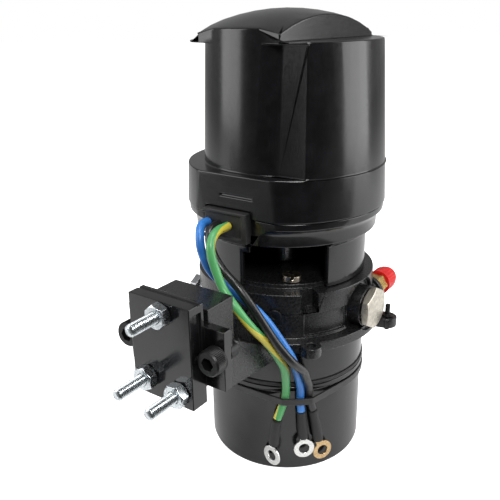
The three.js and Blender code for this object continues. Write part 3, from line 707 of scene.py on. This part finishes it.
LEADS = [
    Lead("green_yellow", GREEN_PVC, TIN_PLATE, [
        (-52.2, 1.9, 149.8), (-56, 1.9, 149.9), (-60, 1.8, 149.9), (-65, 1.2, 148.5), (-68.7, 0.4, 144.9),
        (-70, -0.8, 139.9), (-70, -2.9, 133.5), (-69.8, -7.5, 123.4), (-70.2, -15, 115.6),
        (-67, -21.5, 105.6), (-58.3, -25.2, 93.8), (-51.7, -28.8, 81.9), (-48.5, -29.9, 75.2),
        (-44.5, -28.6, 65), (-42, -27.1, 57), (-42, -26.8, 53), (-42.2, -26, 49.4), (-43.4, -24.9, 44.8),
        (-45.2, -23.5, 39)], ((-45.4, -23.3, 38), (-45, -20.9, 20.6))),
    Lead("blue", BLUE_PVC, TIN_PLATE, [
        (-52.2, 15.1, 150.1), (-56, 15, 150.2), (-60.2, 13.6, 149.2), (-63.7, 11.4, 146),
        (-65, 10.2, 141.3), (-64.4, 9.2, 135.8), (-62.8, 7, 128.8), (-61, 1, 122), (-59.3, -8, 116.8),
        (-57.6, -15.5, 111.6), (-55, -22.8, 104.2), (-51.3, -29.4, 93), (-48.2, -34.3, 83),
        (-42.8, -33.6, 73.5), (-38.6, -33.4, 64), (-37.1, -33.5, 57.4), (-37.1, -33.4, 53),
        (-36.8, -33.4, 48), (-36.4, -33.6, 43.2)], ((-36.4, -33.7, 42.8), (-35.3, -34.6, 25))),
    Lead("black", BLACK_PVC, BARE_COPPER, [
        (-52.2, 8.3, 149.5), (-55, 8.3, 149.5), (-58.8, 7.8, 148.7), (-61.8, 6.6, 146.2), (-63.3, 5, 142),
        (-63.9, 2, 136.5), (-64, -3.6, 130), (-64.6, -12.6, 123.8), (-63.2, -20.6, 113.9),
        (-60.2, -26.5, 103), (-56.3, -31.2, 92.6), (-52.3, -37, 83.2), (-48.2, -38.6, 78.2),
        (-43.6, -38.9, 73.8), (-39.2, -38.5, 66.8), (-35.4, -37.6, 60.5), (-33.8, -36.9, 56),
        (-33.5, -36.9, 52), (-32.8, -37.6, 47.5), (-31.8, -38.3, 43.6)],
        ((-31.7, -38.4, 42.9), (-28.3, -40.6, 22))),
]


# ---------------------------------------------------------------- housings


@dataclass
class Shell:
    """A body that keeps its CAD shape, with edges rounded as a mould or casting leaves them, in mm."""

    node: str
    name: str
    look: Finish
    edge: float
    angle: float = 35.0
    segments: int = 2

    def build(self) -> bpy.types.Object:
        """Builds the rounded body and returns it."""
        piece = merged_copy(self.node)
        soften(piece, self.edge * MM, self.segments, self.angle)
        return finish_piece(piece, self.name, self.look, nodes=[self.node])


SHELLS = [
    Shell("motor_cover", "cover_shell", COVER_SHELL, 0.7),
    Shell("motor_base", "base_ring", GLOSS_ENAMEL, 0.5),
    Shell("wire_grommet", "grommet_block", SOFT_RUBBER, 0.7, segments=3),
    Shell("pump_manifold", "casting", CAST_ENAMEL, 0.5),
    Shell("mounting_bracket", "bracket_plate", GLOSS_ENAMEL, 0.45),
    Shell("reservoir", "oil_can", GLOSS_ENAMEL, 0.4),
    Shell("reservoir_neck", "can_neck", GLOSS_ENAMEL, 0.3),
    Shell("reservoir_seal", "can_seal", SOFT_RUBBER, 0.5),
    Shell("cable_tie", "nylon_tie", NYLON, 0.25),
    Shell("gallery_plug", "gallery_screw", BLACK_OXIDE, 0.25),
    Shell("spool_end_plug", "spool_cap", TURNED_STEEL, 0.35),
    Shell("ear_screw", "ear_peg", BLACK_OXIDE, 0.25),
]


# ---------------------------------------------------------------- threaded hardware


def thread_radius(pitch: float, crest: float, depth: float, start: float,
                  stop: float) -> Callable[[float, float], float]:
    """A helical thread's radius by height and angle, with chamfered ends.

    Args:
        pitch: Height of one turn.
        crest: Outside radius.
        depth: Depth from crest to root.
        start: Height of the lower end.
        stop: Height of the upper end.

    Returns:
        The radius for a height and an angle.
    """
    def radius(z: float, angle: float) -> float:
        """The radius at one place."""
        turn = ((z - start) / pitch - angle / (2 * math.pi)) % 1.0
        ramp = abs(turn * 2 - 1)
        lead = min(1.0, 0.72 + min(z - start, stop - z) / pitch * 0.35)
        return min(crest - depth * (1 - min(1.0, ramp * 1.25)), crest * lead)

    return radius


@dataclass
class StudSet:
    """The bracket's threaded studs and their nuts, set where the CAD has them. Sizes in mm."""

    count: int = 3
    radius: float = 3.0
    pitch: float = 1.0
    depth: float = 0.55
    flats: float = 11.0
    play: float = 0.2
    nut_turn: float = 17.0
    rings_per_mm: int = 6

    def build(self) -> None:
        """Builds every stud with its nut."""
        for number in range(1, self.count + 1):
            low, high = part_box(f"stud_{number}")
            middle = [(a + b) / 2 for a, b in zip(low, high)]
            base = aimed((1, 0, 0), (low[0], middle[1], middle[2]))
            stud = placed(self._stud(high[0] - low[0]), base)
            finish_piece(stud, f"threaded_stud_{number}", BRIGHT_ZINC, nodes=[f"stud_{number}"])
            nut_low, nut_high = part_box(f"stud_nut_{number}")
            nut = chamfered_hex(self.flats, (nut_high[0] - nut_low[0]) / MM, self.radius + self.play)
            seat = aimed((1, 0, 0), (nut_low[0], middle[1], middle[2]))
            turn = Matrix.Rotation(math.radians(self.nut_turn * number), 4, "Z")
            finish_piece(placed(nut, seat @ turn), f"hex_nut_{number}", BRIGHT_ZINC,
                         nodes=[f"stud_nut_{number}"])

    def _stud(self, length: float) -> bpy.types.Object:
        """Builds a stud of this length standing on the origin along +Z, and returns it."""
        count = int(length / MM * self.rings_per_mm)
        rod = ringed_rod(self.radius * MM, [length * i / count for i in range(count + 1)], 28)
        shape_rings(rod, thread_radius(self.pitch * MM, self.radius * MM, self.depth * MM, 0.0, length))
        soften(rod, 0, angle=50)
        return rod


def chamfered_hex(flats: float, thick: float, hole: float, washer: float = 0.0) -> bpy.types.Object:
    """Builds a hexagon head or nut standing on z=0, with both faces turned down at the corners.

    Args:
        flats: Width across flats, in millimetres.
        thick: Height, in millimetres.
        hole: Radius of its hole, or 0 for none, in millimetres.
        washer: Height of a round face under it, in millimetres.

    Returns:
        The piece.
    """
    corner = flats / math.sqrt(3)
    body = cylinder(corner * MM, washer * MM, thick * MM, 6)
    blank = ringed_rod(corner * MM, [h * MM for h in (washer, washer + CHAMFER, thick - CHAMFER, thick)], 64)
    low, high = (washer + 0.2) * MM, (thick - 0.2) * MM
    shape_rings(blank, lambda z, angle: (flats * 0.485 if z < low or z > high else corner + 0.2) * MM)
    body = combine(body, blank, "INTERSECT")
    if washer > 0:
        body = combine(body, cylinder(flats * 0.47 * MM, 0, (washer + 0.3) * MM, 64), "UNION")
    if hole > 0:
        body = combine(body, cylinder(hole * MM, -0.01, 0.03, 40), "DIFFERENCE")
    soften(body, 0.00016, 2, 30)
    return body


@dataclass
class CapScrews:
    """The two socket cap screws that hold the bracket to the casting. Sizes in mm."""

    seat: float = -99.2
    y: float = 25.6
    z: float = 104.0
    head_radius: float = 6.5
    head: float = 7.0
    end: float = 12.2
    flats: float = 6.0
    bevel: float = 0.8
    groove: float = 0.28
    grooves: int = 48
    socket: float = 4.2
    shank: float = 4.0

    def build(self) -> None:
        """Builds one screw and sets a copy at each side."""
        screw = self._screw()
        for side, name in ((-1, "front"), (1, "rear")):
            place = aimed((1, 0, 0), Vector((self.seat, side * self.y, self.z)) * MM)
            finish_piece(placed(own_copy(screw), place), f"socket_screw_{name}", BLACK_OXIDE,
                         nodes=[f"cap_screw_{name}"])
        drop(screw)

    def _screw(self) -> bpy.types.Object:
        """Builds the screw with a knurled head below z=0 and its shank above, and returns it."""
        top, chamfer = -self.head * MM, (-self.head + self.bevel) * MM
        heights = [-self.head, -self.head + self.bevel, -5.2, -4.4, -3.6, -2.8, -2.0, -1.2, -0.4, 0]
        head = ringed_rod(self.head_radius * MM, [h * MM for h in heights], 96)

        def knurl(z: float, angle: float) -> float:
            """Fine straight knurling between the chamfer and the seat."""
            if z < top + 1e-6:
                return (self.head_radius - self.bevel) * MM
            groove = self.groove if z > chamfer - 1e-6 and z < -0.0003 else 0.0
            return (self.head_radius - groove * (0.5 + 0.5 * math.cos(self.grooves * angle))) * MM

        shape_rings(head, knurl)
        across = self.flats / math.sqrt(3) * MM
        socket = cylinder(across, (-self.head - 1) * MM, (-self.head + self.socket) * MM, 6)
        head = combine(head, socket, "DIFFERENCE")
        head = combine(head, cylinder(self.shank * MM, -0.5 * MM, self.end * MM, 32), "UNION")
        soften(head, 0.0, angle=40)
        return head


@dataclass
class Plumbing:
    """The filler plug, two port fittings with their transit caps, and the release valve, in mm."""

    port_y: float = 42.0
    port_z: float = 95.5
    port_flats: float = 12.0
    port_seat: float = 26.3
    plug_flats: float = 21.5
    plug_height: float = 4.9
    plug_place: Point = (0, -54.5, 98.5)
    neck: float = 5.9
    cap_radius: float = 7.5
    rib: float = 7.35
    valley: float = 6.9
    ribs: int = 24

    def build(self) -> None:
        """Builds every fitting."""
        self._filler_plug()
        for side, name in ((-1, "front"), (1, "rear")):
            self._port(side, name)
        self._release()

    def _filler_plug(self) -> None:
        """Builds the wide hexagonal plug with its turned rim and short neck."""
        plug = chamfered_hex(self.plug_flats, self.plug_height, 0, 0.5)
        plug = combine(plug, cylinder(self.neck * MM, -10 * MM, 1 * MM, 40), "UNION")
        place = aimed((0, -1, 0), Vector(self.plug_place) * MM)
        finish_piece(placed(plug, place), "hex_plug", PLUG_ZINC, nodes=["filler_plug"])

    def _port(self, side: int, name: str) -> None:
        """Builds a brass fitting and the ribbed red cap on it.

        Args:
            side: -1 at the front and 1 at the rear.
            name: The side's name.
        """
        at = aimed((1, 0, 0), Vector((0, side * self.port_y, self.port_z)) * MM)
        nut = chamfered_hex(self.port_flats, 12.9, 0, 0.6)
        fitting = placed(nut, Matrix.Translation((0, 0, self.port_seat * MM)))
        for radius, low, high in ((4.5, 38.5, 50), (4.0, 14, 27)):
            fitting = combine(fitting, cylinder(radius * MM, low * MM, high * MM, 36), "UNION")
        fitting = combine(fitting, cylinder(5.2 * MM, 31.6 * MM, 33.2 * MM, 36), "UNION")
        fitting = combine(fitting, cylinder(2.3 * MM, 0, 60 * MM, 28), "DIFFERENCE")
        soften(fitting, 0.0, angle=35)
        finish_piece(placed(fitting, at), f"brass_fitting_{name}", TURNED_BRASS,
                     nodes=[f"port_fitting_{name}"])
        finish_piece(placed(self._cap(), at), f"transit_cap_{name}", RED_CAP, nodes=[f"port_cap_{name}"])

    def _cap(self) -> bpy.types.Object:
        """Builds the cap along +Z: a ribbed skirt, a plain shoulder and a domed end, and returns it."""
        heights = [39.8, 40.6, 41.4, 49.6, 50.2, 51.0, 52.4, 53.4, 54.0]
        cap = ringed_rod(self.cap_radius * MM, [h * MM for h in heights], 96)

        def ribbed(z: float, angle: float) -> float:
            """The cap's radius: a rim, ribs, and an end that rounds over."""
            height = z / MM
            if height < 41:
                return self.cap_radius * MM
            if height < 50:
                return (self.rib if math.cos(self.ribs * angle) > 0 else self.valley) * MM
            end = {50.2: self.valley, 51.0: 6.4, 52.4: 6.3, 53.4: 5.9, 54.0: 5.0}
            return end.get(round(height, 1), 6.3) * MM

        shape_rings(cap, ribbed)
        cap = combine(cap, cylinder(4.8 * MM, 30 * MM, 51 * MM, 32), "DIFFERENCE")
        soften(cap, 0.0, angle=40)
        return cap

    def _release(self) -> None:
        """Builds the slotted release valve from its CAD form with turned edges."""
        valve = merged_copy("release_valve")
        soften(valve, 0.00045, 3, 35)
        finish_piece(valve, "slotted_valve", DULL_NICKEL, body="release", nodes=["release_valve"])


# ---------------------------------------------------------------- hidden workings


@dataclass
class Workings:
    """The motor's and pump's inner pieces, which keep their CAD shape and get real finishes."""

    looks: dict[str, Finish] = field(default_factory=lambda: {
        "motor_can": TURNED_STEEL, "magnet_left": FERRITE, "magnet_right": FERRITE,
        "armature_shaft": TURNED_STEEL, "armature_core": TURNED_STEEL, "winding_upper": WOUND_COPPER,
        "winding_lower": WOUND_COPPER, "commutator": WOUND_COPPER, "top_bearing": TURNED_STEEL,
        "bottom_bearing": TURNED_STEEL, "brush_plate": NYLON, "brush_left": CARBON,
        "brush_right": CARBON, "drive_gear": TURNED_STEEL, "driven_gear": TURNED_STEEL,
        "end_plate": TURNED_STEEL, "end_plate_bolt_1": BLACK_OXIDE, "end_plate_bolt_2": BLACK_OXIDE,
        "end_plate_bolt_3": BLACK_OXIDE, "pickup_tube": BRIGHT_ZINC, "inlet_filter": TURNED_STEEL,
        "shuttle_spool": TURNED_STEEL,
    })

    def dress(self) -> None:
        """Gives each inner CAD node its finish."""
        for node, look in self.looks.items():
            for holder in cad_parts[node].material_slots:
                holder.material = look.material()
            LOG.info("%s: dressed", node)


# ---------------------------------------------------------------- the unit


def main() -> None:
    """Builds the camera, the leads and then every other piece."""
    logging.basicConfig(level=logging.INFO, format="%(message)s")
    Studio().build()
    for lead in LEADS:
        lead.build()
    for shell in SHELLS:
        shell.build()
    StudSet().build()
    CapScrews().build()
    Plumbing().build()
    Workings().dress()


if __name__ == "__main__":
    main()
